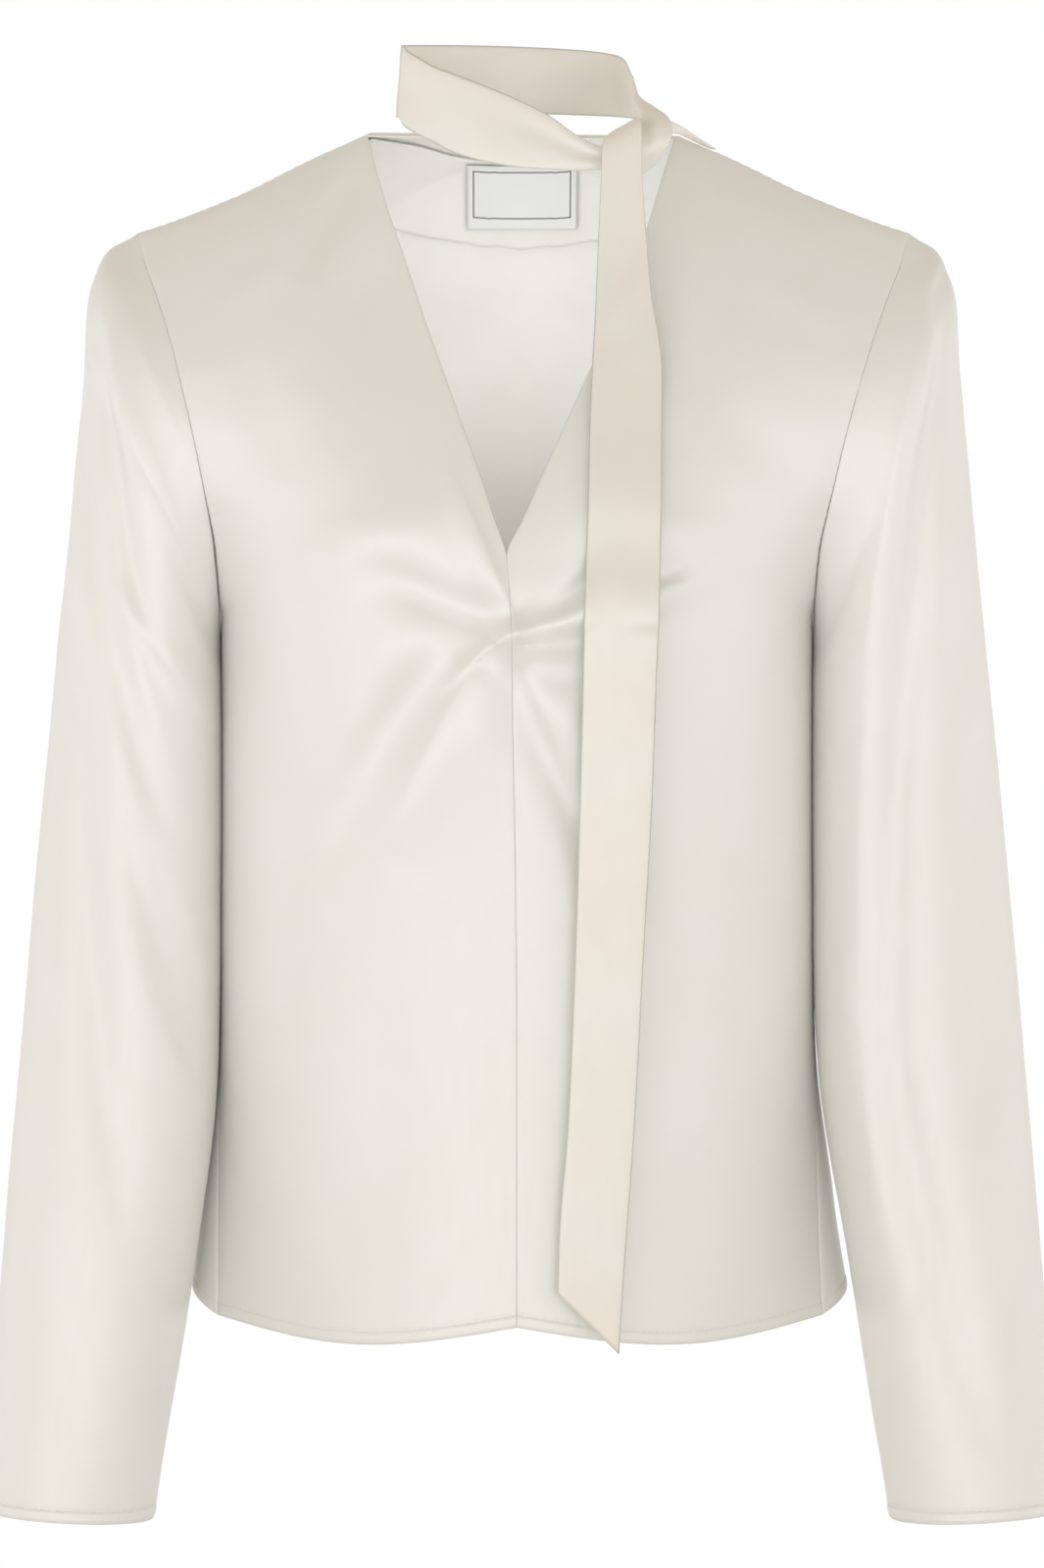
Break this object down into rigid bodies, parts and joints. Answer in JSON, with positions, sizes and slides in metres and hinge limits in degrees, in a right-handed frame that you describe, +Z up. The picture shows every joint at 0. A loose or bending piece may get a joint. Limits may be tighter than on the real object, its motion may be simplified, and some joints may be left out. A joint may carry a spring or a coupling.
{
  "type": "blouse",
  "caption": "Satin blouse filled out as if worn: V neck, gathered twist at the bust, long straight sleeves and a long neck tie looped once round the neck.",
  "frame": {"origin": "middle of the garment at the height of the point where the neckline meets the shoulder seams, where a wearer's shoulders hold it", "axes": "+Z up, the front faces -Y, the wearer's left is +X"},
  "size_m": [0.5244, 0.2371, 0.7249],
  "materials": {
    "satin": "satin",
    "satin_reverse": "matte",
    "tie_satin": "satin",
    "label": "satin"
  },
  "bodies": {
    "root": {"front_right": "satin", "front_left": "satin", "back": "satin", "sleeve_right": "satin", "sleeve_left": "satin", "neck_facing": "satin_reverse", "neck_label": "label", "tie_front": "tie_satin", "tie_back": "tie_satin", "tie_hitch": "tie_satin", "tie_tail": "tie_satin"}
  },
  "joints": []
}
